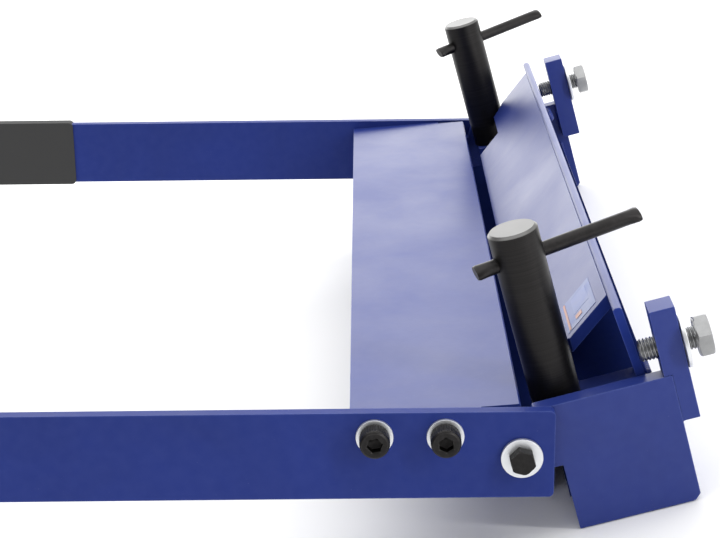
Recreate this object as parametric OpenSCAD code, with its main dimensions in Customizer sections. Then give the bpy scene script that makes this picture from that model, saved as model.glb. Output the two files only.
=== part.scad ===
// Bench-top sheet metal bending brake: base, swinging leaf with two arms, and a raised clamp bar.
// Origin: middle of the bench bolt pattern on the underside. +X along the bend, +Y to the rear.

/* [Overall] */

// clear width between the inner faces of the two end plates
bend_w = 449; // [380:1:900]
// how far the arms are swung above the level at rest, in degrees
leaf_angle = 15; // [0:1:25]
// length of each arm
arm_len = 397; // [330:1:700]
// width of the arm's flat bar
arm_h = 40; // [34:1:50]
// thickness of the arm's flat bar
arm_t = 5; // [4:0.5:8]

/* [Base] */

// height of the pivot line over the bench
pivot_h = 43; // [40:1:60]
// height of an end plate
plate_h = 60; // [56:1:80]
// depth of an end plate from front to back
plate_d = 54; // [48:1:80]
// thickness of an end plate
plate_t = 8; // [4:0.5:10]
// distance from the pivot line back to an end plate's front edge
plate_back = 16; // [15:1:24]
// radius of the ear round the pivot
ear_r = 11.5; // [10:0.5:14]
// thickness of the bed's top plate
bed_t = 8; // [5:0.5:12]
// thickness of the foot plates
foot_t = 6; // [4:0.5:10]
// length of a foot plate along the bend
foot_w = 84; // [70:1:120]
// radius of a bench bolt hole
bench_hole_r = 4.5; // [3.5:0.25:6]

/* [Leaf] */

// depth of the leaf's flange
leaf_d = 73; // [60:1:120]
// thickness of the leaf
leaf_t = 5; // [4:0.5:8]
// how far the flange drops to its front edge
leaf_drop = 5.2; // [0:0.2:8]
// height of the arm's top edge over the pivot line
arm_top = 21; // [19:0.5:26]
// how far the arm runs on behind the pivot line
arm_tail = 14; // [12:0.5:20]
// length of a hand grip
grip_len = 125; // [90:1:160]
// wall of a hand grip
grip_wall = 1.2; // [1:0.1:3]

/* [Clamp] */

// how far the clamp bar stands over its clamped place at rest
clamp_lift = 14.7; // [8:0.1:16]
// slope of the nose plate, in degrees
nose_slope = 38.3; // [30:0.1:50]
// thickness of the nose plate
nose_t = 5; // [3:0.5:8]
// distance from the pivot line back to the nose
nose_back = 11.2; // [8:0.2:16]
// height of the clamp's back bar
bar_h = 34; // [30:1:45]
// thickness of the clamp's back bar
bar_t = 4; // [3:0.5:8]
// backward lean of the back bar's foot, in degrees
bar_lean = 5.5; // [0:0.5:8]
// half length of the nose plate's upper part
nose_half = 203; // [170:1:430]
// half length of the nose itself, between the two notches
nose_clear = 158; // [130:1:400]

/* [Screws] */

// diameter of a clamp post
post_d = 22; // [18:0.5:28]
// length of a clamp post
post_len = 81; // [60:1:110]
// distance from an end plate's inner face to the post's centre
post_in = 16.5; // [15:0.5:20]
// distance from the pivot line back to the posts
post_back = 20.5; // [19:0.5:26]
// diameter of the clamp screw's thread
stud_d = 8; // [7:0.5:9]
// diameter of a tommy bar
tommy_d = 6.5; // [5:0.1:8]
// length of a tommy bar
tommy_len = 77; // [60:1:110]
// how far a tommy bar stands out in front of the post's centre
tommy_front = 20.5; // [17:0.5:40]
// wire of a lift spring
wire_d = 1.4; // [1:0.1:2]

/* [Adjusters] */

// height of a lug
lug_h = 52; // [40:1:70]
// depth of a lug from front to back
lug_d = 11; // [8:0.5:16]
// width of a lug along the bend
lug_w = 14; // [12:0.5:20]
// diameter of an adjuster bolt
adj_d = 10; // [8:0.5:12]
// diameter of an adjuster washer
adj_washer_d = 24; // [20:0.5:30]

/* [Hidden] */

$fn = 48;
gap = 0.5;
fit = 0.05;
base_y = -(plate_back + plate_d / 2);
top_z = plate_h;
in_x = bend_w / 2;
out_x = in_x + plate_t;
arm_x = out_x + gap;
bar_half = in_x - 0.7;
post_x = in_x - post_in;
bed_half = post_x - post_d / 2 - 7;
bed_y0 = 0.5;
bed_y1 = plate_back + plate_d - 7;
rail_t = 6;
rail_y0 = bed_y1 - rail_t + 1;
notch_in = 3.2;
lug_z1 = pivot_h + 47;
lug_z0 = lug_z1 - lug_h;
lug_y1 = plate_back + plate_d + 7.5;
lug_y0 = lug_y1 - lug_d;
lug_x0 = out_x - lug_w;
adj_x = out_x - lug_w / 2;
adj_z = pivot_h + 28.5;
seat = 0.6;
spring_washer_t = 1.6;
flare = 0.9;
nose_z = pivot_h + seat + clamp_lift;
bar_top_z = nose_z + bar_h;
nose_run = (bar_h - 1.4) / tan(nose_slope);
bar_y = nose_back + nose_run;
bar_foot_y = bar_y + bar_h * tan(bar_lean);
ear_h = 6;
ear_z = nose_z - 12.3;
ear_x1 = in_x - 1;
ear_y1 = bar_foot_y + bar_t - 0.2;
ear_x0 = post_x - 12;
post_z = ear_z + ear_h + 0.3;
boss_z = ear_z - spring_washer_t - clamp_lift - 0.7;
neck_r = stud_d / 2 + 1.2;
spring_r = neck_r + wire_d / 2 + 0.4;
shelf_z = boss_z - 9;
block_z = shelf_z - 8;
rail_low = ear_z - clamp_lift - 0.8;
stud_z = clamp_lift + 1;
pivot_r = 3;
screw_r = 4;
screw_v = 10.3;
screw_u = [-32.5, -62.5];
block_x = 12;
adj_washer_t = 1.8;
adj_gap = 4;
adj_tip_y = bar_y + bar_t / cos(bar_lean) + (bar_top_z - adj_z) * tan(bar_lean) + 0.4;
adj_washer_y = lug_y1 + 0.3;
adj_head_y = adj_washer_y + adj_washer_t + adj_gap;
adj_head_h = 6.4;

blue = [0.10, 0.15, 0.42];
black = [0.06, 0.06, 0.065];
zinc = [0.75, 0.76, 0.78];
spring_c = [0.55, 0.56, 0.58];
rubber_c = [0.04, 0.04, 0.04];

// ---- helpers ----

// everything is drawn from the pivot line, then moved to the bolt pattern's middle
module place() {
  translate([0, base_y, 0]) children();
}

// a flat outline in Y and Z, carried from x0 to x1
module prof(x0, x1) {
  translate([x0, 0, 0])
    rotate([90, 0, 90])
      linear_extrude(height = x1 - x0)
        children();
}

module rod_x(x0, x1, y, z, r) {
  translate([x0, y, z])
    rotate([0, 90, 0])
      cylinder(h = x1 - x0, r = r);
}

module rod_y(y0, y1, x, z, r) {
  translate([x, y1, z])
    rotate([90, 0, 0])
      cylinder(h = y1 - y0, r = r);
}

module rod_z(z0, z1, x, y, r) {
  translate([x, y, z0])
    cylinder(h = z1 - z0, r = r);
}

module block(x0, x1, y0, y1, z0, z1) {
  translate([x0, y0, z0])
    cube([x1 - x0, y1 - y0, z1 - z0]);
}

module rounded(x0, y0, x1, y1, r) {
  translate([x0 + r, y0]) square([x1 - x0 - 2 * r, y1 - y0]);
  translate([x0, y0 + r]) square([x1 - x0, y1 - y0 - 2 * r]);
  for (x = [x0 + r, x1 - r], y = [y0 + r, y1 - r])
    translate([x, y]) circle(r = r);
}

// the leaf's own frame: u to the rear, v up, swung about the pivot line
module swung() {
  translate([0, base_y, pivot_h])
    rotate([-leaf_angle, 0, 0])
      children();
}

module flip(side) {
  if (side < 0)
    mirror([1, 0, 0]) children();
  else
    children();
}

// ---- base ----

module end_plate() {
  color(blue)
  difference() {
    union() {
      prof(in_x, out_x)
        polygon([
          [plate_back, 0],
          [plate_back + plate_d - 2.5, 0],
          [plate_back + plate_d, 2.5],
          [plate_back + plate_d, top_z],
          [plate_back, top_z]
        ]);
      prof(in_x, out_x)
        polygon([
          [0, pivot_h - ear_r],
          [plate_back + 1, pivot_h - ear_r],
          [plate_back + 1, top_z],
          [9.6, top_z],
          [5.7, pivot_h + 9.8],
          [0, pivot_h + 4]
        ]);
      rod_x(in_x, out_x, 0, pivot_h, ear_r);
    }
    rod_x(in_x - 1, out_x + 1, 0, pivot_h, pivot_r + 0.02);
  }
}

module end_plate_left() {
  place() flip(-1) end_plate();
}

module end_plate_right() {
  place() end_plate();
}

module bed_angle() {
  color(blue)
  place()
    prof(-bed_half, bed_half)
      polygon([
        [bed_y0, 0],
        [bed_y0 + bed_t, 0],
        [bed_y0 + bed_t, pivot_h - bed_t],
        [bed_y1, pivot_h - bed_t],
        [bed_y1, pivot_h],
        [bed_y0 + 0.6, pivot_h],
        [bed_y0, pivot_h - 0.6]
      ]);
}

module rear_rail() {
  color(blue)
  place() {
    block(-in_x, in_x, rail_y0, rail_y0 + rail_t, foot_t, rail_low);
    block(-bed_half, bed_half, rail_y0, rail_y0 + rail_t, foot_t, pivot_h - bed_t);
  }
}

module foot() {
  color(blue)
  difference() {
    block(in_x - foot_w, in_x, plate_back, plate_back + plate_d - 3, 0, foot_t);
    rod_z(-1, foot_t + 1, post_x, post_back, stud_d / 2 + 1);
    for (y = [-14, 14])
      rod_z(-1, foot_t + 1, in_x - foot_w + 16, y - base_y, bench_hole_r);
  }
}

module foot_left() {
  place() flip(-1) foot();
}

module foot_right() {
  place() foot();
}

module boss() {
  color(blue)
  difference() {
    union() {
      block(bed_half + 4, in_x, post_back - neck_r, rail_y0, block_z, shelf_z);
      rod_z(block_z, boss_z, post_x, post_back, neck_r);
    }
    rod_z(block_z - 1, boss_z + 1, post_x, post_back, stud_d / 2 + fit);
  }
}

module boss_left() {
  place() flip(-1) boss();
}

module boss_right() {
  place() boss();
}

module lug() {
  color(blue)
  difference() {
    block(lug_x0, out_x, lug_y0, lug_y1, lug_z0, lug_z1);
    block(in_x, out_x + 1, lug_y0 - 1, plate_back + plate_d, lug_z0 - 1, top_z);
    rod_y(lug_y0 - 1, lug_y1 + 1, adj_x, adj_z, adj_d / 2 + fit);
  }
}

module lug_left() {
  place() flip(-1) lug();
}

module lug_right() {
  place() lug();
}

module pivot_bolt() {
  rod_x(in_x + 0.3, arm_x + arm_t + 2.1, 0, pivot_h, pivot_r);
  translate([arm_x + arm_t + 2.1, 0, pivot_h])
    rotate([-leaf_angle, 0, 0])
      rotate([0, 90, 0])
        rotate([0, 0, 15])
          intersection() {
            cylinder(h = 4.8, r = 5 / cos(30), $fn = 6);
            cylinder(h = 4.8, r1 = 8.6, r2 = 5.2);
          }
}

module pivot_bolts() {
  color(black)
  place() {
    pivot_bolt();
    flip(-1) pivot_bolt();
  }
}

module pivot_washer() {
  difference() {
    rod_x(arm_x + arm_t + 0.3, arm_x + arm_t + 2, 0, pivot_h, 9);
    rod_x(arm_x + arm_t, arm_x + arm_t + 3, 0, pivot_h, pivot_r + 0.2);
  }
}

module pivot_washers() {
  color(zinc)
  place() {
    pivot_washer();
    flip(-1) pivot_washer();
  }
}

// ---- leaf ----

leaf_bot = arm_top - leaf_t;
leaf_slope = leaf_drop / leaf_d;

module leaf_angle_plate() {
  color(blue)
  swung()
    difference() {
      prof(-(arm_x - 0.02), arm_x - 0.02)
        polygon([
          [0, 0],
          [0, arm_top - 0.8],
          [-0.8, arm_top],
          [-leaf_d, arm_top - leaf_drop],
          [-leaf_d, leaf_bot - leaf_drop],
          [-leaf_t, leaf_bot - leaf_t * leaf_slope],
          [-leaf_t, 0]
        ]);
      for (s = [-1, 1])
        flip(s) {
          block(arm_x - notch_in, arm_x + 1, -17, 1, -1, arm_top + 1);
          block(in_x - 0.6, arm_x + 1, -17, 1, -1, ear_r + 1);
          for (u = screw_u)
            rod_x(arm_x - block_x - 1, arm_x + 1, u, screw_v, screw_r + 0.02);
        }
    }
}

module leaf_block() {
  color(blue)
  difference() {
    prof(arm_x - block_x, arm_x - 0.02)
      polygon([
        [-20, 1.5],
        [-20, leaf_bot - 20 * leaf_slope - 0.02],
        [-leaf_d + 1, leaf_bot - (leaf_d - 1) * leaf_slope - 0.02],
        [-leaf_d + 1, 1.5]
      ]);
    for (u = screw_u)
      rod_x(arm_x - block_x - 1, arm_x + 1, u, screw_v, screw_r + 0.02);
  }
}

module leaf_block_left() {
  swung() flip(-1) leaf_block();
}

module leaf_block_right() {
  swung() leaf_block();
}

module arm() {
  color(blue)
  difference() {
    prof(arm_x, arm_x + arm_t)
      rounded(arm_tail - arm_len, arm_top - arm_h, arm_tail, arm_top, 2.4);
    rod_x(arm_x - 1, arm_x + arm_t + 1, 0, 0, pivot_r + fit);
    for (u = screw_u)
      rod_x(arm_x - 1, arm_x + arm_t + 1, u, screw_v, screw_r + 0.3);
  }
}

module arm_left() {
  swung() flip(-1) arm();
}

module arm_right() {
  swung() arm();
}

module grip() {
  g0 = arm_tail - arm_len - grip_wall * 2;
  color(rubber_c)
  difference() {
    prof(arm_x - grip_wall, arm_x + arm_t + grip_wall)
      rounded(g0, arm_top - arm_h - grip_wall, g0 + grip_len, arm_top + grip_wall, 3);
    prof(arm_x - 0.02, arm_x + arm_t + 0.02)
      rounded(arm_tail - arm_len - 0.02, arm_top - arm_h - 0.02, g0 + grip_len + 9, arm_top + 0.02, 2.4);
  }
}

module grip_left() {
  swung() flip(-1) grip();
}

module grip_right() {
  swung() grip();
}

module arm_screw(u) {
  x0 = arm_x + arm_t + 1.7;
  rod_x(arm_x - block_x + 1, x0, u, screw_v, screw_r);
  difference() {
    rod_x(x0, x0 + 8, u, screw_v, 6.5);
    translate([x0 + 4, u, screw_v])
      rotate([0, 90, 0])
        cylinder(h = 5, r = 3 / cos(30), $fn = 6);
  }
}

module arm_screws() {
  color(black)
  swung()
    for (s = [-1, 1])
      flip(s)
        for (u = screw_u)
          arm_screw(u);
}

module arm_washers() {
  color(zinc)
  swung()
    for (s = [-1, 1])
      flip(s)
        for (u = screw_u)
          difference() {
            rod_x(arm_x + arm_t + 0.02, arm_x + arm_t + 1.68, u, screw_v, 8);
            rod_x(arm_x + arm_t - 1, arm_x + arm_t + 3, u, screw_v, screw_r + 0.3);
          }
}

// ---- clamp ----

bar_dy = bar_t / cos(bar_lean);

// the back bar's front face leans back towards its foot
function bar_face(z) = bar_y + (bar_top_z - z) * tan(bar_lean);

module bar_outline(foot) {
  head = bar_top_z - 1;
  polygon([
    [bar_face(head), head],
    [bar_face(foot), foot],
    [bar_face(foot) + bar_dy, foot],
    [bar_face(head) + bar_dy, head],
    [bar_face(head) + bar_dy - 1, bar_top_z],
    [bar_face(head) + 1, bar_top_z]
  ]);
}

module clamp_back_bar() {
  color(blue)
  place()
    prof(-bar_half, bar_half) bar_outline(nose_z);
}

module clamp_nose_plate() {
  drop = nose_t / cos(nose_slope);
  apex = nose_z + 0.8 + nose_run * tan(nose_slope) - 0.6;
  color(blue)
  place()
    difference() {
      prof(-nose_half, nose_half)
        polygon([
          [nose_back, nose_z],
          [nose_back, nose_z + 0.8],
          [bar_face(apex) - 0.02, apex],
          [bar_face(apex - drop) - 0.02, apex - drop],
          [nose_back + drop / tan(nose_slope) - 0.5, nose_z]
        ]);
      for (s = [-1, 1])
        flip(s) {
          block(nose_clear, nose_half + 5, 0, post_back + 5, nose_z - 5, nose_z + 40);
          rod_z(nose_z - 20, nose_z + 60, post_x, post_back, post_d / 2 + 2);
        }
    }
}

module clamp_ear() {
  color(blue)
  difference() {
    union() {
      block(ear_x0, ear_x1, post_back - 9.5, ear_y1, ear_z, ear_z + ear_h);
      prof(ear_x0, ear_x1)
        polygon([
          [bar_face(ear_z), ear_z],
          [bar_face(ear_z) + bar_dy, ear_z],
          [bar_face(nose_z) + bar_dy, nose_z - 0.02],
          [bar_face(nose_z), nose_z - 0.02]
        ]);
    }
    rod_z(ear_z - 1, ear_z + ear_h + 1, post_x, post_back, stud_d / 2 + 0.6);
  }
}

module clamp_ear_left() {
  place() flip(-1) clamp_ear();
}

module clamp_ear_right() {
  place() clamp_ear();
}

tommy_z = post_z + post_len - 13.8;

module post(turn) {
  color(black)
  difference() {
    union() {
      rod_z(stud_z, post_z + 1, post_x, post_back, stud_d / 2);
      rod_z(post_z, post_z + post_len - 1.2, post_x, post_back, post_d / 2);
      translate([post_x, post_back, post_z + post_len - 1.2])
        cylinder(h = 1.2, r1 = post_d / 2, r2 = post_d / 2 - 1.2);
    }
    translate([post_x, post_back, tommy_z])
      rotate([0, 0, turn])
        rotate([90, 0, 0])
          cylinder(h = post_d + 4, r = tommy_d / 2 + 0.1, center = true);
  }
}

module tommy(turn) {
  color(black)
  translate([post_x, post_back, tommy_z])
    rotate([0, 0, turn])
      rotate([-90, 0, 0])
        translate([0, 0, -tommy_front]) {
          cylinder(h = tommy_len, r = tommy_d / 2);
          cylinder(h = 7, r1 = tommy_d / 2 + flare, r2 = tommy_d / 2);
          translate([0, 0, tommy_len - 9])
            cylinder(h = 9, r1 = tommy_d / 2, r2 = tommy_d / 2 + flare);
        }
}

turn_right = 16;
turn_left = -27;

module clamp_post_left() {
  place() flip(-1) post(turn_left);
}

module clamp_post_right() {
  place() post(turn_right);
}

module tommy_bar_left() {
  place() flip(-1) tommy(turn_left);
}

module tommy_bar_right() {
  place() tommy(turn_right);
}

spring_z0 = shelf_z + 0.02;
spring_z1 = ear_z - spring_washer_t - 0.3;
coils = 4.5;

// one coiled wire, closed at both ends
module coil(r, w, h, n) {
  steps = 20;
  sides = 8;
  count = round(n * steps);
  pts = [
    for (i = [0 : count])
      let (a = 360 * i / steps, z = w / 2 + (h - w) * i / count)
        for (k = [0 : sides - 1])
          let (b = 360 * k / sides, q = r + w / 2 * cos(b))
            [q * cos(a), q * sin(a), z + w / 2 * sin(b)]
  ];
  walls = [
    for (i = [0 : count - 1], k = [0 : sides - 1])
      [
        i * sides + k,
        i * sides + (k + 1) % sides,
        (i + 1) * sides + (k + 1) % sides,
        (i + 1) * sides + k
      ]
  ];
  start = [for (k = [0 : sides - 1]) sides - 1 - k];
  finish = [for (k = [0 : sides - 1]) count * sides + k];
  polyhedron(points = pts, faces = concat(walls, [start], [finish]), convexity = 8);
}

module lift_springs() {
  color(spring_c)
  place()
    for (s = [-1, 1])
      flip(s)
        translate([post_x, post_back, spring_z0])
          coil(spring_r, wire_d, spring_z1 - spring_z0, coils);
}

module spring_washers() {
  color(zinc)
  place()
    for (s = [-1, 1])
      flip(s)
        difference() {
          rod_z(ear_z - spring_washer_t - 0.02, ear_z - 0.02, post_x, post_back, spring_r + wire_d / 2 + 0.6);
          rod_z(ear_z - 5, ear_z + 1, post_x, post_back, stud_d / 2 + 0.6);
        }
}

// ---- adjusters ----

module adjuster_washer() {
  color(zinc)
  difference() {
    rod_y(adj_washer_y, adj_washer_y + adj_washer_t, adj_x, adj_z, adj_washer_d / 2);
    rod_y(adj_washer_y - 1, adj_washer_y + 5, adj_x, adj_z, adj_d / 2 + fit);
  }
}

module adjuster_washer_left() {
  place() flip(-1) adjuster_washer();
}

module adjuster_washer_right() {
  place() adjuster_washer();
}

module adjuster_bolt() {
  color(zinc) {
    rod_y(adj_tip_y, adj_head_y + 1, adj_x, adj_z, adj_d / 2);
    translate([adj_x, adj_head_y, adj_z])
      rotate([-90, 0, 0])
        rotate([0, 0, 10])
          intersection() {
            cylinder(h = adj_head_h, r = 8.5 / cos(30), $fn = 6);
            cylinder(h = adj_head_h, r1 = 9.9, r2 = 8.9);
          }
  }
}

module adjuster_bolt_left() {
  place() flip(-1) adjuster_bolt();
}

module adjuster_bolt_right() {
  place() adjuster_bolt();
}

end_plate_left();
end_plate_right();
bed_angle();
rear_rail();
foot_left();
foot_right();
boss_left();
boss_right();
lug_left();
lug_right();
pivot_bolts();
pivot_washers();
leaf_angle_plate();
leaf_block_left();
leaf_block_right();
arm_left();
arm_right();
grip_left();
grip_right();
arm_screws();
arm_washers();
clamp_back_bar();
clamp_nose_plate();
clamp_ear_left();
clamp_ear_right();
clamp_post_left();
clamp_post_right();
tommy_bar_left();
tommy_bar_right();
lift_springs();
spring_washers();
adjuster_washer_left();
adjuster_washer_right();
adjuster_bolt_left();
adjuster_bolt_right();
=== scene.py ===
"""Sheet metal bending brake: finishes, small pieces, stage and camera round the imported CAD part."""

import math

import bmesh
import bpy
from mathutils import Matrix, Vector


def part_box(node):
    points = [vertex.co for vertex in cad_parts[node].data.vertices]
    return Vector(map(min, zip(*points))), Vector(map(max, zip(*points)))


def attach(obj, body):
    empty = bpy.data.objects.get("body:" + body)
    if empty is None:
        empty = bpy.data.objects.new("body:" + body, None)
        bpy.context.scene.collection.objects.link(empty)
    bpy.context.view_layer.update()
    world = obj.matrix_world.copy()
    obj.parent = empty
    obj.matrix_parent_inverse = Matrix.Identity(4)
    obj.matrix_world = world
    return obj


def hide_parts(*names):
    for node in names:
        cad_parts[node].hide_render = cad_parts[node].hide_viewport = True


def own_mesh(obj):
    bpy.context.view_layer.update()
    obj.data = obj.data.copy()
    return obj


bl_info = {
    "name": "Bending Brake",
    "version": (1, 0, 0),
    "blender": (4, 5, 0),
    "location": "View3D > Sidebar > Brake",
    "description": "Builds the finishes, fasteners, welds and studio of a bench bending brake",
    "category": "Object",
}

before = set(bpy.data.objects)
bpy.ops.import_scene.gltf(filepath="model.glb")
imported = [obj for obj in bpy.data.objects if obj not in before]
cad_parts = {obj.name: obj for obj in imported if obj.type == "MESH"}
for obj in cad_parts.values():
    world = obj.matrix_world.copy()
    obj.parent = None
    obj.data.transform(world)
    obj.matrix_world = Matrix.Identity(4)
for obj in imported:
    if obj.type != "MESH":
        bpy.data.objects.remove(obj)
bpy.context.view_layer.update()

MM = 0.001


def middle(node):
    low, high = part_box(node)
    return (Vector(low) + Vector(high)) / 2


# ---------------------------------------------------------------- properties


class PaintSettings(bpy.types.PropertyGroup):
    """Powder coat on the plates, bars and lugs."""

    colour: bpy.props.FloatVectorProperty(
        name="Coat Colour", description="Blue of the powder coat", subtype="COLOR",
        size=4, min=0, max=1, default=(0.018, 0.036, 0.215, 1))
    # paler edge colour: partly thin coat at the edges, partly a painted highlight where the edges catch the light
    edge_colour: bpy.props.FloatVectorProperty(
        name="Edge Colour", description="Paler blue where the coat is thin", subtype="COLOR",
        size=4, min=0, max=1, default=(0.09, 0.125, 0.36, 1))
    roughness: bpy.props.FloatProperty(
        name="Roughness", description="Roughness of the coat", min=0, max=1, default=0.36)
    edge: bpy.props.FloatProperty(
        name="Edge Width", description="Width of the softened plate edges",
        unit="LENGTH", min=0, default=0.0005)


class MetalSettings(bpy.types.PropertyGroup):
    """Bare, blackened and plated steel."""

    black: bpy.props.FloatVectorProperty(
        name="Black Oxide", description="Colour of blackened steel", subtype="COLOR",
        size=4, min=0, max=1, default=(0.017, 0.016, 0.016, 1))
    zinc: bpy.props.FloatVectorProperty(
        name="Zinc", description="Colour of zinc plate", subtype="COLOR",
        size=4, min=0, max=1, default=(0.56, 0.565, 0.57, 1))
    rubber: bpy.props.FloatVectorProperty(
        name="Rubber", description="Colour of the hand grips", subtype="COLOR",
        size=4, min=0, max=1, default=(0.004, 0.004, 0.0045, 1))


class FastenerSettings(bpy.types.PropertyGroup):
    """Screws and bolts drawn in full."""

    adjuster_pitch: bpy.props.FloatProperty(
        name="Adjuster Pitch", description="Thread pitch of the adjuster bolts",
        unit="LENGTH", min=0.0005, default=0.0015)
    knurls: bpy.props.IntProperty(
        name="Knurls", description="Ridges round a socket head", min=12, default=36)


class WeldSettings(bpy.types.PropertyGroup):
    """Weld beads under the paint."""

    radius: bpy.props.FloatProperty(
        name="Bead Radius", description="Radius of a weld bead", unit="LENGTH", min=0.0003, default=0.0015)
    ripple: bpy.props.FloatProperty(
        name="Ripple Length", description="Distance from ripple to ripple",
        unit="LENGTH", min=0.0005, default=0.0021)


class LabelSettings(bpy.types.PropertyGroup):
    """Plain sticker on the clamp bar."""

    width: bpy.props.FloatProperty(
        name="Label Width", description="Width of the sticker along the bar",
        unit="LENGTH", min=0.005, default=0.031)
    height: bpy.props.FloatProperty(
        name="Label Height", description="Height of the sticker up the slope",
        unit="LENGTH", min=0.005, default=0.019)


class StageSettings(bpy.types.PropertyGroup):
    """Floor, lights and camera."""

    floor: bpy.props.FloatVectorProperty(
        name="Floor Colour", description="Colour of the plain floor", subtype="COLOR",
        size=4, min=0, max=1, default=(0.93, 0.93, 0.93, 1))
    lens: bpy.props.FloatProperty(
        name="Lens", description="Focal length of the camera in millimetres", min=10, default=90.3)
    world: bpy.props.FloatProperty(
        name="Room Light", description="Strength of the even light of the room", min=0, default=0.42)


GROUPS = {
    "brake_paint": PaintSettings,
    "brake_metal": MetalSettings,
    "brake_fasteners": FastenerSettings,
    "brake_welds": WeldSettings,
    "brake_label": LabelSettings,
    "brake_stage": StageSettings,
}


# ---------------------------------------------------------------- shader groups


def new_group(name, inputs, outputs):
    group = bpy.data.node_groups.new(name, "ShaderNodeTree")
    for label, kind, value in inputs:
        socket = group.interface.new_socket(label, in_out="INPUT", socket_type=kind)
        socket.default_value = value
    for label, kind in outputs:
        group.interface.new_socket(label, in_out="OUTPUT", socket_type=kind)
    ins = group.nodes.new("NodeGroupInput")
    outs = group.nodes.new("NodeGroupOutput")
    return group, ins, outs


def add(tree, kind, **settings):
    node = tree.nodes.new(kind)
    for key, value in settings.items():
        if key in node.inputs:
            node.inputs[key].default_value = value
        else:
            setattr(node, key, value)
    return node


def math_node(tree, operation, a, b=None, clamp=False):
    node = tree.nodes.new("ShaderNodeMath")
    node.operation = operation
    node.use_clamp = clamp
    for i, value in enumerate((a, b)):
        if value is None:
            continue
        if isinstance(value, (int, float)):
            node.inputs[i].default_value = value
        else:
            tree.links.new(value, node.inputs[i])
    return node.outputs[0]


def noise(tree, vector, scale, detail=3.0, roughness=0.5, distortion=0.0):
    node = add(tree, "ShaderNodeTexNoise", Detail=detail, Roughness=roughness, Distortion=distortion)
    if isinstance(scale, (int, float)):
        node.inputs["Scale"].default_value = scale
    else:
        tree.links.new(scale, node.inputs["Scale"])
    tree.links.new(vector, node.inputs["Vector"])
    return node.outputs[0]


def ramp(tree, value, low, high, to_low=0.0, to_high=1.0):
    node = tree.nodes.new("ShaderNodeMapRange")
    node.inputs["From Min"].default_value = low
    node.inputs["From Max"].default_value = high
    node.inputs["To Min"].default_value = to_low
    node.inputs["To Max"].default_value = to_high
    tree.links.new(value, node.inputs["Value"])
    return node.outputs["Result"]


def edge_wear_and_highlight_group():
    """Mask of 1 on sharp outer edges, broken up by a noise."""
    name = "Edge Wear"
    if name in bpy.data.node_groups:
        return bpy.data.node_groups[name]
    group, ins, outs = new_group(
        name,
        [
            ("Width", "NodeSocketFloat", 0.0008),
            ("Amount", "NodeSocketFloat", 1.0),
            ("Break Up", "NodeSocketFloat", 0.5),
        ],
        [("Mask", "NodeSocketFloat")])
    bevel = add(group, "ShaderNodeBevel", samples=6)
    group.links.new(ins.outputs["Width"], bevel.inputs["Radius"])
    geometry = group.nodes.new("ShaderNodeNewGeometry")
    dot = add(group, "ShaderNodeVectorMath", operation="DOT_PRODUCT")
    group.links.new(bevel.outputs[0], dot.inputs[0])
    group.links.new(geometry.outputs["Normal"], dot.inputs[1])
    bend = math_node(group, "SUBTRACT", 1.0, dot.outputs["Value"])
    wide = ramp(group, bend, 0.01, 0.16)
    coords = group.nodes.new("ShaderNodeTexCoord")
    chips = noise(group, coords.outputs["Object"], 260.0, 4.0, 0.6)
    chips = ramp(group, chips, 0.35, 0.62)
    broken = math_node(group, "MULTIPLY", chips, ins.outputs["Break Up"])
    keep = math_node(group, "SUBTRACT", 1.0, ins.outputs["Break Up"])
    weight = math_node(group, "ADD", broken, keep)
    mask = math_node(group, "MULTIPLY", wide, weight)
    mask = math_node(group, "MULTIPLY", mask, ins.outputs["Amount"], clamp=True)
    group.links.new(mask, outs.inputs["Mask"])
    return group


def orange_peel_group():
    """Height of a sprayed and baked coat: fine dimples over a slow swell."""
    name = "Orange Peel"
    if name in bpy.data.node_groups:
        return bpy.data.node_groups[name]
    group, ins, outs = new_group(
        name,
        [("Scale", "NodeSocketFloat", 900.0)],
        [("Height", "NodeSocketFloat"), ("Swell", "NodeSocketFloat")])
    coords = group.nodes.new("ShaderNodeTexCoord")
    fine = noise(group, coords.outputs["Object"], ins.outputs["Scale"], 2.0, 0.55)
    slow_scale = math_node(group, "MULTIPLY", ins.outputs["Scale"], 0.22)
    slow = noise(group, coords.outputs["Object"], slow_scale, 2.0, 0.5)
    part = math_node(group, "MULTIPLY", slow, 0.7)
    height = math_node(group, "ADD", fine, part)
    group.links.new(height, outs.inputs["Height"])
    group.links.new(slow, outs.inputs["Swell"])
    return group


def handling_group():
    """Slow smudges and fine dust specks of a tool that has been handled."""
    name = "Handling Marks"
    if name in bpy.data.node_groups:
        return bpy.data.node_groups[name]
    group, ins, outs = new_group(
        name,
        [("Smudge Scale", "NodeSocketFloat", 22.0), ("Speck Scale", "NodeSocketFloat", 700.0)],
        [("Smudge", "NodeSocketFloat"), ("Specks", "NodeSocketFloat")])
    coords = group.nodes.new("ShaderNodeTexCoord")
    smudge = noise(group, coords.outputs["Object"], ins.outputs["Smudge Scale"], 4.0, 0.6, 0.4)
    smudge = ramp(group, smudge, 0.3, 0.7)
    cells = group.nodes.new("ShaderNodeTexVoronoi")
    group.links.new(coords.outputs["Object"], cells.inputs["Vector"])
    group.links.new(ins.outputs["Speck Scale"], cells.inputs["Scale"])
    dots = ramp(group, cells.outputs["Distance"], 0.12, 0.05)
    rare = noise(group, coords.outputs["Object"], 160.0, 1.0)
    rare = ramp(group, rare, 0.6, 0.7)
    specks = math_node(group, "MULTIPLY", dots, rare)
    group.links.new(smudge, outs.inputs["Smudge"])
    group.links.new(specks, outs.inputs["Specks"])
    return group


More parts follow.
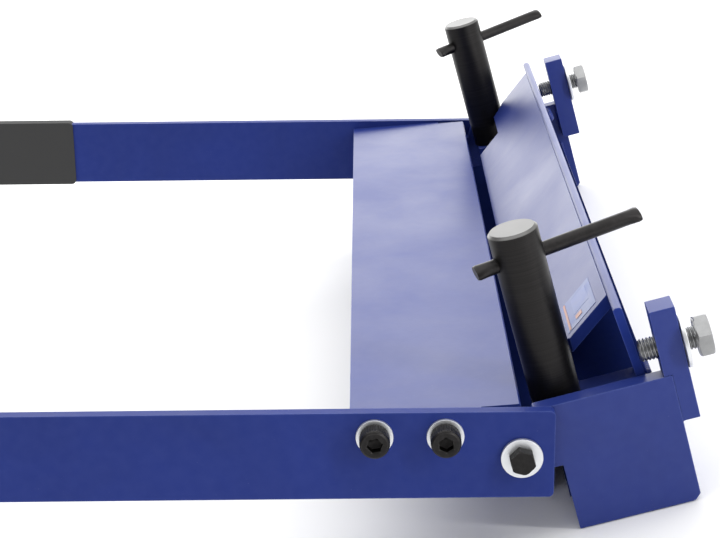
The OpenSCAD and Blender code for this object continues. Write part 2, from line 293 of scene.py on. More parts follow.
def brushing_group():
    """Fine lines left by turning or brushing, stretched along one axis."""
    name = "Brushing"
    if name in bpy.data.node_groups:
        return bpy.data.node_groups[name]
    group, ins, outs = new_group(
        name,
        [("Stretch", "NodeSocketVector", (1.0, 1.0, 1.0)), ("Scale", "NodeSocketFloat", 600.0)],
        [("Lines", "NodeSocketFloat")])
    coords = group.nodes.new("ShaderNodeTexCoord")
    scaled = add(group, "ShaderNodeVectorMath", operation="MULTIPLY")
    group.links.new(coords.outputs["Object"], scaled.inputs[0])
    group.links.new(ins.outputs["Stretch"], scaled.inputs[1])
    lines = noise(group, scaled.outputs[0], ins.outputs["Scale"], 4.0, 0.7)
    group.links.new(lines, outs.inputs["Lines"])
    return group


# ---------------------------------------------------------------- materials


def start_material(name):
    if name in bpy.data.materials:
        return bpy.data.materials[name], None, None
    material = bpy.data.materials.new(name)
    material.use_nodes = True
    tree = material.node_tree
    shader = tree.nodes["Principled BSDF"]
    return material, tree, shader


def put_group(tree, group, **values):
    node = tree.nodes.new("ShaderNodeGroup")
    node.node_tree = group
    for key, value in values.items():
        node.inputs[key.replace("_", " ")].default_value = value
    return node


def mix_colour(tree, factor, a, b):
    node = tree.nodes.new("ShaderNodeMix")
    node.data_type = "RGBA"
    tree.links.new(factor, node.inputs["Factor"])
    for socket, value in ((node.inputs[6], a), (node.inputs[7], b)):
        if isinstance(value, bpy.types.NodeSocket):
            tree.links.new(value, socket)
        else:
            socket.default_value = value
    return node.outputs[2]


def bump(tree, shader, height, strength, distance):
    node = add(tree, "ShaderNodeBump", Strength=strength, Distance=distance)
    tree.links.new(height, node.inputs["Height"])
    tree.links.new(node.outputs[0], shader.inputs["Normal"])
    return node


def powder_coat(settings, name="powder_coat_blue", depth=1.0, sheen=0.3, upward=False, extra_rough=0.0):
    """Blue powder coat. depth below 1 darkens it into a painted shade for parts that sit in shadow, and upward
    keeps the sheen to faces that look up.
    """
    material, tree, shader = start_material(name)
    if tree is None:
        return material
    edge_wear_and_highlight = put_group(tree, edge_wear_and_highlight_group(), Width=0.0009, Amount=0.75, Break_Up=0.35)
    marks = put_group(tree, handling_group(), Smudge_Scale=16.0, Speck_Scale=520.0)
    peel = put_group(tree, orange_peel_group(), Scale=820.0)
    full = tuple(c * depth for c in settings.colour[:3]) + (1,)
    deep = tuple(c * 0.86 for c in full[:3]) + (1,)
    rim = tuple(c * depth for c in settings.edge_colour[:3]) + (1,)
    tint = mix_colour(tree, marks.outputs["Smudge"], deep, full)
    swell = ramp(tree, peel.outputs["Swell"], 0.3, 0.7, 0.0, 0.06)
    tint = mix_colour(tree, swell, tint, rim)
    # paler edges: partly thin or worn coat, partly a painted highlight where the edges catch the light
    edged = mix_colour(tree, edge_wear_and_highlight.outputs["Mask"], tint, rim)
    specks = math_node(tree, "MULTIPLY", marks.outputs["Specks"], 0.12 * depth)
    dusty = mix_colour(tree, specks, edged, (0.45, 0.48, 0.6, 1))
    tree.links.new(dusty, shader.inputs["Base Color"])
    base_rough = settings.roughness + extra_rough
    rough = ramp(tree, marks.outputs["Smudge"], 0.0, 1.0, base_rough - 0.04, base_rough + 0.07)
    tree.links.new(rough, shader.inputs["Roughness"])
    if upward:
        coords = tree.nodes.new("ShaderNodeTexCoord")
        facing = tree.nodes.new("ShaderNodeSeparateXYZ")
        tree.links.new(coords.outputs["Normal"], facing.inputs[0])
        level = ramp(tree, facing.outputs["Z"], 0.25, 0.7, 0.0, sheen)
        tree.links.new(level, shader.inputs["Specular IOR Level"])
    else:
        shader.inputs["Specular IOR Level"].default_value = sheen
    bump(tree, shader, peel.outputs["Height"], 0.12, 0.00016)
    return material


def black_oxide(settings, name, stretch, machined_top=None, bright=1.0):
    """Blackened steel. machined_top is the height above which an upward face is left bare."""
    material, tree, shader = start_material(name)
    if tree is None:
        return material
    edge_wear_and_highlight = put_group(tree, edge_wear_and_highlight_group(), Width=0.0007, Amount=0.7, Break_Up=0.5)
    lines = put_group(tree, brushing_group(), Stretch=stretch, Scale=420.0)
    marks = put_group(tree, handling_group(), Smudge_Scale=60.0, Speck_Scale=900.0)
    base = tuple(c * bright for c in settings.black[:3]) + (1,)
    pale = tuple(min(1, c * bright * 1.5) for c in settings.black[:3]) + (1,)
    streak = ramp(tree, lines.outputs["Lines"], 0.38, 0.68)
    tint = mix_colour(tree, streak, base, pale)
    # lighter grey edges: partly rubbed-through steel, partly a painted highlight where the edges catch the light
    tint = mix_colour(tree, edge_wear_and_highlight.outputs["Mask"], tint, (0.09, 0.088, 0.085, 1))
    rough_low = ramp(tree, lines.outputs["Lines"], 0.3, 0.7, 0.34, 0.44)
    if machined_top is not None:
        geometry = tree.nodes.new("ShaderNodeTexCoord")
        facing = tree.nodes.new("ShaderNodeSeparateXYZ")
        tree.links.new(geometry.outputs["Normal"], facing.inputs[0])
        place = tree.nodes.new("ShaderNodeSeparateXYZ")
        tree.links.new(geometry.outputs["Object"], place.inputs[0])
        up = ramp(tree, facing.outputs["Z"], 0.35, 0.6)
        high = ramp(tree, place.outputs["Z"], machined_top - 0.0015, machined_top - 0.0009)
        top = math_node(tree, "MULTIPLY", up, high)
        tint = mix_colour(tree, top, tint, (0.15, 0.149, 0.147, 1))
    tree.links.new(tint, shader.inputs["Base Color"])
    tree.links.new(rough_low, shader.inputs["Roughness"])
    shader.inputs["Metallic"].default_value = 0.85
    total = math_node(tree, "ADD", lines.outputs["Lines"], marks.outputs["Smudge"])
    bump(tree, shader, total, 0.08, 0.00004)
    return material


def zinc_plate(settings, name="zinc_plate", stretch=(1.0, 1.0, 1.0), depth=1.0):
    material, tree, shader = start_material(name)
    if tree is None:
        return material
    edge_wear_and_highlight = put_group(tree, edge_wear_and_highlight_group(), Width=0.0005, Amount=0.6, Break_Up=0.4)
    lines = put_group(tree, brushing_group(), Stretch=stretch, Scale=520.0)
    marks = put_group(tree, handling_group(), Smudge_Scale=110.0, Speck_Scale=1300.0)
    full = tuple(c * depth for c in settings.zinc[:3]) + (1,)
    cool = tuple(c * 0.8 for c in full[:3]) + (1,)
    tint = mix_colour(tree, marks.outputs["Smudge"], cool, full)
    # brighter edges: partly rubbed plate, partly a painted highlight where the edges catch the light
    tint = mix_colour(tree, edge_wear_and_highlight.outputs["Mask"], tint, tuple(min(1, c * 1.25) for c in full[:3]) + (1,))
    faint = math_node(tree, "MULTIPLY", marks.outputs["Specks"], 0.4)
    tint = mix_colour(tree, faint, tint, (0.40, 0.39, 0.37, 1))
    tree.links.new(tint, shader.inputs["Base Color"])
    shader.inputs["Metallic"].default_value = 1.0
    rough = ramp(tree, lines.outputs["Lines"], 0.3, 0.7, 0.26, 0.42)
    tree.links.new(rough, shader.inputs["Roughness"])
    bump(tree, shader, lines.outputs["Lines"], 0.1, 0.00004)
    return material


def grip_rubber(settings):
    material, tree, shader = start_material("grip_rubber")
    if tree is None:
        return material
    marks = put_group(tree, handling_group(), Smudge_Scale=30.0, Speck_Scale=800.0)
    peel = put_group(tree, orange_peel_group(), Scale=1500.0)
    pale = tuple(min(1, c * 2.0) for c in settings.rubber[:3]) + (1,)
    tint = mix_colour(tree, marks.outputs["Smudge"], tuple(settings.rubber), pale)
    faint = math_node(tree, "MULTIPLY", marks.outputs["Specks"], 0.3)
    tint = mix_colour(tree, faint, tint, (0.25, 0.25, 0.25, 1))
    tree.links.new(tint, shader.inputs["Base Color"])
    rough = ramp(tree, marks.outputs["Smudge"], 0.0, 1.0, 0.5, 0.66)
    tree.links.new(rough, shader.inputs["Roughness"])
    shader.inputs["Specular IOR Level"].default_value = 0.05
    bump(tree, shader, peel.outputs["Height"], 0.4, 0.0002)
    return material


def sticker_film(name, colour):
    material, tree, shader = start_material(name)
    if tree is None:
        return material
    marks = put_group(tree, handling_group(), Smudge_Scale=90.0, Speck_Scale=1500.0)
    worn = tuple(min(1, c * 1.25 + 0.02) for c in colour[:3]) + (1,)
    tint = mix_colour(tree, marks.outputs["Smudge"], colour, worn)
    tree.links.new(tint, shader.inputs["Base Color"])
    rough = ramp(tree, marks.outputs["Smudge"], 0.0, 1.0, 0.28, 0.4)
    tree.links.new(rough, shader.inputs["Roughness"])
    return material


# ---------------------------------------------------------------- mesh helpers


def dress(node, material, edge=0.0, segments=2, angle=35):
    """Gives a CAD node its finish, and softens its sharp edges."""
    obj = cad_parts[node]
    obj.data.materials.clear()
    obj.data.materials.append(material)
    if edge <= 0:
        return obj
    for polygon in obj.data.polygons:
        polygon.use_smooth = True
    weld = obj.modifiers.new("Join", "WELD")
    weld.merge_threshold = 1e-6
    soft = obj.modifiers.new("Soft Edges", "BEVEL")
    soft.width = edge
    soft.segments = segments
    soft.limit_method = "ANGLE"
    soft.angle_limit = math.radians(angle)
    soft.use_clamp_overlap = True
    soft.harden_normals = False
    shading = obj.modifiers.new("Flat Faces", "WEIGHTED_NORMAL")
    shading.keep_sharp = False
    shading.weight = 100
    return obj


def new_piece(name, verts, faces, material, body, place=None, smooth=True, sharp=35):
    """A mesh piece in the row frame, carried by a CAD body."""
    mesh = bpy.data.meshes.new(name)
    mesh.from_pydata([tuple(v) for v in verts], [], faces)
    bm = bmesh.new()
    bm.from_mesh(mesh)
    bmesh.ops.remove_doubles(bm, verts=bm.verts, dist=1e-7)
    bmesh.ops.recalc_face_normals(bm, faces=bm.faces)
    if smooth:
        for face in bm.faces:
            face.smooth = True
        for edge in bm.edges:
            if len(edge.link_faces) == 2 and edge.calc_face_angle(0) > math.radians(sharp):
                edge.smooth = False
    bm.to_mesh(mesh)
    bm.free()
    if place is not None:
        mesh.transform(place)
    mesh.materials.append(material)
    obj = bpy.data.objects.new(name, mesh)
    bpy.context.scene.collection.objects.link(obj)
    if body:
        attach(obj, body)
    return obj


def rings_to_mesh(rings, close_start=True, close_end=True):
    """Vertices and faces of a skin over rings with the same number of points."""
    count = len(rings[0])
    verts = [p for ring in rings for p in ring]
    faces = []
    for i in range(len(rings) - 1):
        for k in range(count):
            a = i * count + k
            b = i * count + (k + 1) % count
            faces.append((a, b, b + count, a + count))
    if close_start:
        faces.append(tuple(range(count))[::-1])
    if close_end:
        last = (len(rings) - 1) * count
        faces.append(tuple(last + k for k in range(count)))
    return verts, faces


def hexagon(angle, across):
    """Distance from the middle of a hexagon to its side, at an angle."""
    part = (angle + math.pi / 6) % (math.pi / 3) - math.pi / 6
    return across / 2 / math.cos(part)


def tube(points, radius, sides=12, flatten=1.0):
    """Rings round a path. radius is a number or one for each point."""
    rings = []
    for i, point in enumerate(points):
        before = points[max(i - 1, 0)]
        after = points[min(i + 1, len(points) - 1)]
        along = (after - before).normalized()
        side = along.cross(Vector((0, 0, 1)))
        if side.length < 1e-3:
            side = along.cross(Vector((0, 1, 0)))
        side.normalize()
        rise = side.cross(along)
        r = radius[i] if isinstance(radius, list) else radius
        rings.append([
            point + side * r * math.cos(a) + rise * r * flatten * math.sin(a)
            for a in (2 * math.pi * k / sides for k in range(sides))])
    return rings


# ---------------------------------------------------------------- measures from the frame

pivot = middle("pivot_bolts")
PIVOT_Y, PIVOT_Z = pivot.y, pivot.z
LEAF_ANGLE = math.radians(15)
LEAF = Matrix.Translation((0, PIVOT_Y, PIVOT_Z)) @ Matrix.Rotation(-LEAF_ANGLE, 4, "X")
ARM_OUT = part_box("arm_right")[1][0]
SCREW_U = (-32.5 * MM, -62.5 * MM)
SCREW_V = 10.3 * MM
SCREW_WASHER = 1.7 * MM
POST_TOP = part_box("clamp_post_right")[1][2]
TOMMY_LEN = 77 * MM
TOMMY_FRONT = 20.5 * MM
TOMMY_RADIUS = 3.25 * MM
TOMMY_FLARE = 4.1 * MM
TOMMY_THIN = 2.5 * MM
TOMMY_TURN = {"left": 27, "right": 16}
ADJUSTER_HEAD = 6.4 * MM
SPRING_WIRE_R = 0.7 * MM
SPRING_TURNS = 5.0
CLAMP_EDGE = 0.0008


# ---------------------------------------------------------------- operators


class BRAKE_OT_base(bpy.types.Operator):
    """Paints the base: end plates, bed, rail, feet, bosses and lugs"""

    bl_idname = "brake.base"
    bl_label = "Paint Base"

    def execute(self, context):
        settings = context.scene.brake_paint
        coat = powder_coat(settings)
        # darker copy of the coat with no specular: painted shade on the bed and bosses, which sit in shadow
        painted_shade_coat = powder_coat(settings, "powder_coat_painted_shade", 0.34, 0.0)
        for side in ("left", "right"):
            for part in ("end_plate", "lug", "foot"):
                dress(f"{part}_{side}", coat, settings.edge)
            dress(f"boss_{side}", painted_shade_coat, settings.edge * 0.6)
        dress("bed_angle", painted_shade_coat, settings.edge)
        dress("rear_rail", coat, settings.edge)
        return {"FINISHED"}


class BRAKE_OT_leaf(bpy.types.Operator):
    """Paints the leaf and its arms"""

    bl_idname = "brake.leaf"
    bl_label = "Paint Leaf"

    def execute(self, context):
        settings = context.scene.brake_paint
        coat = powder_coat(settings)
        bars = powder_coat(settings, "powder_coat_arm", 1.0, 0.15, False, 0.16)
        for side in ("left", "right"):
            dress(f"arm_{side}", bars, settings.edge)
            dress(f"leaf_block_{side}", coat, settings.edge)
        dress("leaf_angle_plate", coat, settings.edge)
        return {"FINISHED"}


class BRAKE_OT_clamp(bpy.types.Operator):
    """Paints the clamp bar and its ears"""

    bl_idname = "brake.clamp"
    bl_label = "Paint Clamp"

    def execute(self, context):
        settings = context.scene.brake_paint
        coat = powder_coat(settings, "powder_coat_clamp", 1.0, 0.45, True)
        for side in ("left", "right"):
            dress(f"clamp_ear_{side}", coat, settings.edge)
        dress("clamp_back_bar", coat, settings.edge * 0.6)
        dress("clamp_nose_plate", coat, settings.edge * 0.6)
        return {"FINISHED"}


class BRAKE_OT_grips(bpy.types.Operator):
    """Gives the hand grips their rubber"""

    bl_idname = "brake.grips"
    bl_label = "Finish Grips"

    def execute(self, context):
        rubber = grip_rubber(context.scene.brake_metal)
        for side in ("left", "right"):
            dress(f"grip_{side}", rubber, 0.0009, 3)
        return {"FINISHED"}


def tommy_mesh(length, radius, flare, thin):
    """Rings of a tommy bar along +Y, its two ends hammered flat into fishtails."""
    ends = 7.5 * MM
    steps = 60
    rings = []
    for i in range(steps + 1):
        y = length * i / steps
        near = max(0.0, 1 - min(y, length - y) / ends)
        spread = near * near * (3 - 2 * near)
        wide = radius + (flare - radius) * spread
        thick = radius + (thin - radius) * spread
        if i in (0, steps):
            wide, thick = wide * 0.93, thick * 0.8
        rings.append([
            Vector((wide * math.cos(a), y, thick * math.sin(a)))
            for a in (2 * math.pi * k / 24 for k in range(24))])
    return rings_to_mesh(rings)


class BRAKE_OT_posts(bpy.types.Operator):
    """Blackens the clamp posts and draws their tommy bars"""

    bl_idname = "brake.posts"
    bl_label = "Finish Posts"

    def execute(self, context):
        settings = context.scene.brake_metal
        body = black_oxide(settings, "black_oxide_post", (0.03, 0.03, 7.0), POST_TOP)
        bar = black_oxide(settings, "black_oxide_bar", (0.3, 0.3, 0.3), None, 1.3)
        for side, turn in TOMMY_TURN.items():
            dress(f"clamp_post_{side}", body)
            centre = middle(f"clamp_post_{side}")
            height = middle(f"tommy_bar_{side}").z
            verts, faces = tommy_mesh(TOMMY_LEN, TOMMY_RADIUS, TOMMY_FLARE, TOMMY_THIN)
            place = (
                Matrix.Translation((centre.x, centre.y, height))
                @ Matrix.Rotation(math.radians(turn), 4, "Z")
                @ Matrix.Translation((0, -TOMMY_FRONT, 0)) @ Matrix.Rotation(math.radians(28), 4, "Y"))
            piece = new_piece(
                f"tommy_fishtail_{side}", verts, faces, bar, f"tommy_{side}", place,
                sharp=50)
            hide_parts(f"tommy_bar_{side}")
        return {"FINISHED"}


def socket_screw(name, place, settings, material):
    """A socket head cap screw with its axis on +Z, head face down at z 0."""
    head_r, head_h, socket, depth = 6.5 * MM, 8 * MM, 6 * MM, 4 * MM
    count = settings.knurls * 4
    angles = [2 * math.pi * k / count for k in range(count)]

    def circle(r, z):
        return [Vector((r * math.cos(a), r * math.sin(a), z)) for a in angles]

    def knurl(z):
        out = []
        for k, a in enumerate(angles):
            r = head_r - (0.0 if k % 4 in (0, 1) else 0.22 * MM)
            out.append(Vector((r * math.cos(a), r * math.sin(a), z)))
        return out

    def hollow(z):
        reach = [hexagon(a, socket) for a in angles]
        return [Vector((r * math.cos(a), r * math.sin(a), z)) for r, a in zip(reach, angles)]

    rings = [
        circle(4 * MM, -10 * MM),
        circle(4 * MM, 0),
        circle(head_r - 0.5 * MM, 0),
        knurl(0.3 * MM),
        knurl(head_h - 1.3 * MM),
        circle(head_r - 0.25 * MM, head_h - 1.1 * MM),
        circle(head_r - 0.35 * MM, head_h - 0.6 * MM),
        circle(head_r - 1.0 * MM, head_h),
        circle(socket / 2 / math.cos(math.pi / 6) + 0.25 * MM, head_h),
        hollow(head_h - 0.3 * MM),
        hollow(head_h - depth),
        circle(0.8 * MM, head_h - depth - 1.0 * MM),
    ]
    verts, faces = rings_to_mesh(rings)
    return new_piece(name, verts, faces, material, "leaf", place, sharp=30)


class BRAKE_OT_fasteners(bpy.types.Operator):
    """Draws the arm screws in full and finishes the pivot bolts and washers"""

    bl_idname = "brake.fasteners"
    bl_label = "Finish Fasteners"

    def execute(self, context):
        settings = context.scene.brake_metal
        black = black_oxide(settings, "black_oxide_screw", (1.0, 1.0, 1.0), None, 1.0)
        zinc = zinc_plate(settings)
        dress("pivot_bolts", black, 0.00025)
        for node in ("pivot_washers", "arm_washers", "spring_washers"):
            dress(node, zinc, 0.0002)
        screws = []
        for side in (-1, 1):
            turn = Matrix.Rotation(math.radians(90 * side), 4, "Y")
            for number, u in enumerate(SCREW_U):
                spot = Matrix.Translation((side * (ARM_OUT + SCREW_WASHER), u, SCREW_V))
                spin = Matrix.Rotation(math.radians(11 + 37 * number + 23 * side), 4, "Z")
                label = "right" if side > 0 else "left"
                screws.append(socket_screw(
                    f"socket_screw_{label}_{number + 1}", LEAF @ spot @ turn @ spin,
                    context.scene.brake_fasteners, black))
        for screw in screws:
            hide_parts("arm_screws")
        return {"FINISHED"}


def adjuster_mesh(length, pitch, head_at, head_h):
    """Rings of a full-thread hex bolt along +Z: tip at 0, head from head_at."""
    major, minor = 5.0 * MM, 4.35 * MM
    count = 36
    angles = [2 * math.pi * k / count for k in range(count)]
    rings = []
    steps = int(length / pitch * 8)
    for i in range(steps + 1):
        z = length * i / steps
        ring = []
        for a in angles:
            phase = (z / pitch - a / (2 * math.pi)) % 1.0
            crest = 1 - abs(2 * phase - 1)
            r = minor + (major - minor) * min(1.0, crest * 1.25)
            r = min(r, minor - 0.3 * MM + z)
            ring.append(Vector((r * math.cos(a), r * math.sin(a), z)))
        rings.append(ring)

    def head_ring(z, cap):
        out = []
        for a in angles:
            r = min(hexagon(a, 17 * MM), cap)
            out.append(Vector((r * math.cos(a), r * math.sin(a), z)))
        return out

    rings.append(head_ring(head_at, 7.9 * MM))
    rings.append(head_ring(head_at + 0.4 * MM, 7.9 * MM))
    rings.append(head_ring(head_at + 0.4 * MM, 9.4 * MM))
    rings.append(head_ring(head_at + 0.7 * MM, 20 * MM))
    for drop, cap in ((1.0, 20), (0.55, 9.35), (0.2, 8.7), (0.0, 8.25)):
        rings.append(head_ring(head_at + head_h - drop * MM, cap * MM))
    rings.append(head_ring(head_at + head_h, 7.4 * MM))
    rings.append(head_ring(head_at + head_h - 0.15 * MM, 6.9 * MM))
    return rings_to_mesh(rings)


class BRAKE_OT_adjusters(bpy.types.Operator):
    """Draws the threaded adjuster bolts behind the lugs and plates their washers"""

    bl_idname = "brake.adjusters"
    bl_label = "Build Adjusters"

    def execute(self, context):
        zinc = zinc_plate(context.scene.brake_metal)
        thread = zinc_plate(context.scene.brake_metal, "zinc_thread", (1.0, 3.0, 1.0), 0.6)
        pitch = context.scene.brake_fasteners.adjuster_pitch
        for side in ("left", "right"):
            low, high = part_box(f"adjuster_bolt_{side}")
            centre = middle(f"adjuster_bolt_{side}")
            length = high[1] - low[1] - ADJUSTER_HEAD
            verts, faces = adjuster_mesh(length, pitch, length, ADJUSTER_HEAD)
            place = Matrix.Translation((centre.x, low[1], centre.z))
            place = place @ Matrix.Rotation(math.radians(-90), 4, "X")
            place = place @ Matrix.Rotation(math.radians(10), 4, "Z")
            bolt = new_piece(
                f"adjuster_thread_{side}", verts, faces, thread, f"adjuster_{side}_bolt", place,
                sharp=28)
            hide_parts(f"adjuster_bolt_{side}")
            dress(f"adjuster_washer_{side}", zinc, 0.0003)
        return {"FINISHED"}


class BRAKE_OT_springs(bpy.types.Operator):
    """Coils the two lift springs under the clamp ears"""

    bl_idname = "brake.springs"
    bl_label = "Coil Springs"

    def execute(self, context):
        wire = zinc_plate(context.scene.brake_metal, "spring_wire", (1.0, 1.0, 1.0))
        low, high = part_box("lift_springs")
        made = []
        for side, name in ((-1, "left"), (1, "right")):
            centre = middle(f"clamp_post_{name}")
            wire_r = SPRING_WIRE_R
            coil_r = (high[0] - centre.x if side > 0 else -low[0] + centre.x) - wire_r
            bottom, top = low[2] + wire_r, high[2] - wire_r
            points = []
            turns, per_turn = SPRING_TURNS, 28
            total = int(turns * per_turn)
            for i in range(total + 1):
                t = i / total
                rise = min(max((t - 0.14) / 0.72, 0), 1)
                a = 2 * math.pi * turns * t * side
                height = bottom + (top - bottom) * rise + (t - rise) * 1.2 * MM
                height = min(max(height, bottom), top)
                x = centre.x + coil_r * math.cos(a)
                y = centre.y + coil_r * math.sin(a)
                points.append(Vector((x, y, height)))
            verts, faces = rings_to_mesh(tube(points, wire_r, 10))
            spring = new_piece(f"lift_spring_{name}", verts, faces, wire, "base")
            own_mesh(spring)
            made.append(spring)
        for spring in made:
            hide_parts("lift_springs")
        return {"FINISHED"}


def weld_bead(name, start, end, settings, material, body, scale=1.0):
    """A rippled bead of weld along a joint, painted over."""
    start, end = Vector(start), Vector(end)
    length = (end - start).length
    radius = settings.radius * scale
    steps = max(6, int(length / settings.ripple * 6))
    points, radii = [], []
    for i in range(steps + 1):
        t = i / steps
        wave = math.sin(2 * math.pi * t * length / settings.ripple)
        drift = math.sin(9.1 * t * length / 0.05 + len(name))
        points.append(start.lerp(end, t))
        swell = min(1.0, min(t, 1 - t) * steps / 5 + 0.35)
        radii.append(radius * swell * (1 + 0.13 * wave + 0.07 * drift))
    verts, faces = rings_to_mesh(tube(points, radii, 12))
    return new_piece(name, verts, faces, material, body, sharp=60)


class BRAKE_OT_welds(bpy.types.Operator):
    """Lays weld beads where the plates, lugs, feet, rail, ears and nose plate meet"""

    bl_idname = "brake.welds"
    bl_label = "Lay Welds"

    def execute(self, context):
        settings = context.scene.brake_welds
        coat = powder_coat(context.scene.brake_paint)
        for side, name in ((-1, "left"), (1, "right")):
            plate_low, plate_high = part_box(f"end_plate_{name}")
            lug_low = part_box(f"lug_{name}")[0]
            outer = plate_high[0] if side > 0 else plate_low[0]
            inner = plate_low[0] if side > 0 else plate_high[0]
            back = plate_high[1]
            weld_bead(
                f"weld_lug_side_{name}", (inner - side * 0.0003, lug_low[1] + 0.0002, lug_low[2] + 0.001),
                (inner - side * 0.0003, lug_low[1] + 0.0002, plate_high[2] - 0.004),
                settings, coat, "base", 0.8)
            weld_bead(
                f"weld_lug_foot_{name}", (outer - side * 0.001, back, lug_low[2]),
                (inner + side * 0.001, back, lug_low[2]), settings, coat, "base", 0.8)
            weld_bead(
                f"weld_rail_{name}", (inner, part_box("rear_rail")[1][1], 0.008),
                (inner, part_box("rear_rail")[1][1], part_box("rear_rail")[1][2] - 0.001), settings, coat, "base")
            foot_low, foot_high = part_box(f"foot_{name}")
            weld_bead(
                f"weld_foot_{name}", (inner, foot_low[1] + 0.012, foot_high[2]),
                (inner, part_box("rear_rail")[0][1] - 0.001, foot_high[2]), settings, coat, "base")
            ear_low, ear_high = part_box(f"clamp_ear_{name}")
            bar_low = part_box("clamp_back_bar")[0]
            ear_in = ear_low[0] if side > 0 else ear_high[0]
            ear_out = ear_high[0] if side > 0 else ear_low[0]
            weld_bead(
                f"weld_ear_{name}", (ear_in + side * 0.002, ear_high[1], bar_low[2]),
                (ear_out - side * 0.002, ear_high[1], bar_low[2]), settings, coat, "clamp", 1.1)
        nose_low, nose_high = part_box("clamp_nose_plate")
        for number in range(4):
            x0 = nose_low[0] + 0.03 + number * 0.1
            weld_bead(
                f"weld_nose_{number + 1}", (x0, nose_high[1], nose_high[2] - 0.0078),
                (x0 + 0.045, nose_high[1], nose_high[2] - 0.0078), settings, coat, "clamp", 1.1)
        return {"FINISHED"}


class BRAKE_OT_label(bpy.types.Operator):
    """Puts a plain two-colour sticker on the slope of the clamp bar"""

    bl_idname = "brake.label"
    bl_label = "Add Label"

    def execute(self, context):
        settings = context.scene.brake_label
        blue = sticker_film("sticker_blue", (0.02, 0.06, 0.26, 1))
        orange = sticker_film("sticker_orange", (0.36, 0.12, 0.06, 1))
        pale = sticker_film("sticker_pale", (0.05, 0.09, 0.30, 1))
        nose_low, nose_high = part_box("clamp_nose_plate")
        slope = math.atan2(nose_high[2] - nose_low[2] - CLAMP_EDGE, nose_high[1] - nose_low[1] - 0.0006)
        place = (
            Matrix.Translation((0.183, nose_low[1], nose_low[2] + CLAMP_EDGE))
            @ Matrix.Rotation(slope, 4, "X") @ Matrix.Translation((0, 0.0365, 0)))
        w, h = settings.width / 2, settings.height / 2

        def sheet(name, x0, x1, y0, y1, z, material):
            thick = 0.00008
            corners = [(x0, y0), (x1, y0), (x1, y1), (x0, y1)]
            verts = [Vector((x, y, zz)) for zz in (z - thick, z) for x, y in corners]
            faces = [(0, 3, 2, 1), (4, 5, 6, 7)]
            faces += [(k, (k + 1) % 4, (k + 1) % 4 + 4, k + 4) for k in range(4)]
            return new_piece(name, verts, faces, material, "clamp", place, smooth=False)

        lift = 0.00016
        sheet("sticker_ground", -w, w, -h, h, lift, blue)
        sheet("sticker_band", -w + 0.001, w - 0.001, -h + 0.0014, -h + 0.0026, lift * 2, orange)
        sheet("sticker_panel", -w + 0.0035, w - 0.011, -h + 0.0062, h - 0.003, lift * 1.4, pale)
        sheet("sticker_mark", w - 0.0085, w - 0.0045, -h + 0.0065, -h + 0.0105, lift * 2, orange)
        return {"FINISHED"}


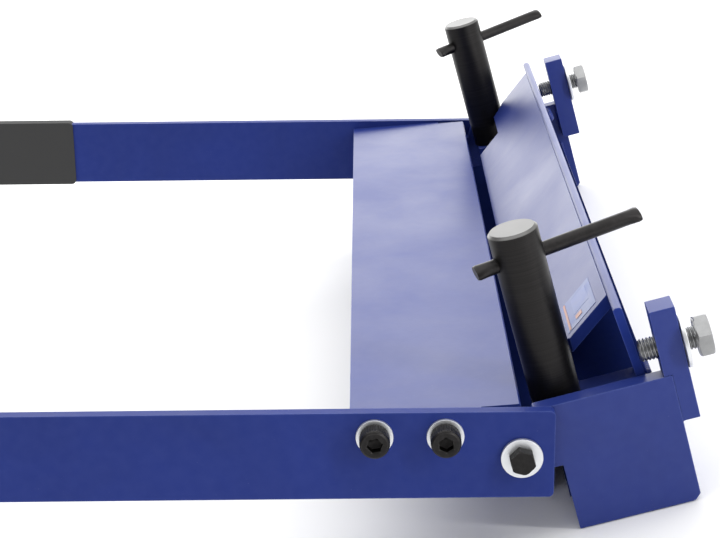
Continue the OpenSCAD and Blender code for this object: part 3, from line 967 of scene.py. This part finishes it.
class BRAKE_OT_stage(bpy.types.Operator):
    """Sets the floor, the soft lights and the camera"""

    bl_idname = "brake.stage"
    bl_label = "Set Stage"

    def execute(self, context):
        settings = context.scene.brake_stage
        floor_mat = bpy.data.materials.new("studio_floor")
        floor_mat.use_nodes = True
        shader = floor_mat.node_tree.nodes["Principled BSDF"]
        shader.inputs["Base Color"].default_value = settings.floor
        shader.inputs["Roughness"].default_value = 0.9
        shader.inputs["Specular IOR Level"].default_value = 0.1
        half, z = 14.0, -0.0004
        floor = new_piece(
            "floor", [(-half, -half, z), (half, -half, z), (half, half, z), (-half, half, z)],
            [(0, 1, 2, 3)], floor_mat, None, smooth=False)

        world = bpy.data.worlds.new("studio_air")
        context.scene.world = world
        world.use_nodes = True
        background = world.node_tree.nodes["Background"]
        background.inputs["Color"].default_value = (1.0, 1.0, 1.0, 1)
        background.inputs["Strength"].default_value = settings.world

        context.scene.view_settings.view_transform = "Standard"
        lights = (
            ("overhead_box", (-0.4, 0.1, 2.6), (-0.4, 0, 0), 4.2, 4.2, 85.0),
            ("far_box", (-1.9, -0.25, 0.72), (0, -0.05, 0.05), 3.0, 1.5, 40.0),
            ("rear_box", (-0.4, 1.7, 0.8), (0, 0, 0.05), 1.8, 1.0, 9.0),
            ("post_strip", (0.95, 1.1, 0.5), (0.2, -0.02, 0.1), 0.12, 1.2, 9.0),
        )
        for name, spot, aim, width, height, power in lights:
            data = bpy.data.lights.new(name, "AREA")
            data.shape = "RECTANGLE"
            data.size, data.size_y = width, height
            data.energy = power
            lamp = bpy.data.objects.new(name, data)
            lamp.location = spot
            lamp.rotation_euler = (Vector(aim) - Vector(spot)).to_track_quat("-Z", "Y").to_euler()
            context.scene.collection.objects.link(lamp)

        camera = bpy.data.cameras.new("camera")
        camera.lens = settings.lens
        camera.sensor_width = 36.0
        camera.shift_x = -0.0029
        camera.shift_y = -0.0016
        eye = bpy.data.objects.new("camera", camera)
        right = Vector((0.00044, 0.96299, -0.26954))
        up = Vector((-0.33752, 0.25387, 0.90644))
        back = right.cross(up)
        turn = Matrix((right, up, back)).transposed().to_4x4()
        eye.matrix_world = Matrix.Translation((0.93299, -0.01848, 0.38352)) @ turn
        context.scene.collection.objects.link(eye)
        context.scene.camera = eye
        return {"FINISHED"}


OPERATORS = (
    BRAKE_OT_base,
    BRAKE_OT_leaf,
    BRAKE_OT_clamp,
    BRAKE_OT_grips,
    BRAKE_OT_posts,
    BRAKE_OT_fasteners,
    BRAKE_OT_adjusters,
    BRAKE_OT_springs,
    BRAKE_OT_welds,
    BRAKE_OT_label,
    BRAKE_OT_stage,
)


class BRAKE_PT_build(bpy.types.Panel):
    """Lists the steps that build the brake's looks"""

    bl_label = "Bending Brake"
    bl_idname = "BRAKE_PT_build"
    bl_space_type = "VIEW_3D"
    bl_region_type = "UI"
    bl_category = "Brake"

    def draw(self, context):
        column = self.layout.column()
        for operator in OPERATORS:
            column.operator(operator.bl_idname)


def register():
    for name, group in GROUPS.items():
        bpy.utils.register_class(group)
        setattr(bpy.types.Scene, name, bpy.props.PointerProperty(type=group))
    for operator in OPERATORS:
        bpy.utils.register_class(operator)
    bpy.utils.register_class(BRAKE_PT_build)


def unregister():
    bpy.utils.unregister_class(BRAKE_PT_build)
    for operator in reversed(OPERATORS):
        bpy.utils.unregister_class(operator)
    for name, group in GROUPS.items():
        delattr(bpy.types.Scene, name)
        bpy.utils.unregister_class(group)


def main():
    register()
    bpy.ops.brake.base()
    bpy.ops.brake.leaf()
    bpy.ops.brake.clamp()
    bpy.ops.brake.grips()
    bpy.ops.brake.posts()
    bpy.ops.brake.fasteners()
    bpy.ops.brake.adjusters()
    bpy.ops.brake.springs()
    bpy.ops.brake.welds()
    bpy.ops.brake.label()
    bpy.ops.brake.stage()


if __name__ == "__main__":
    main()
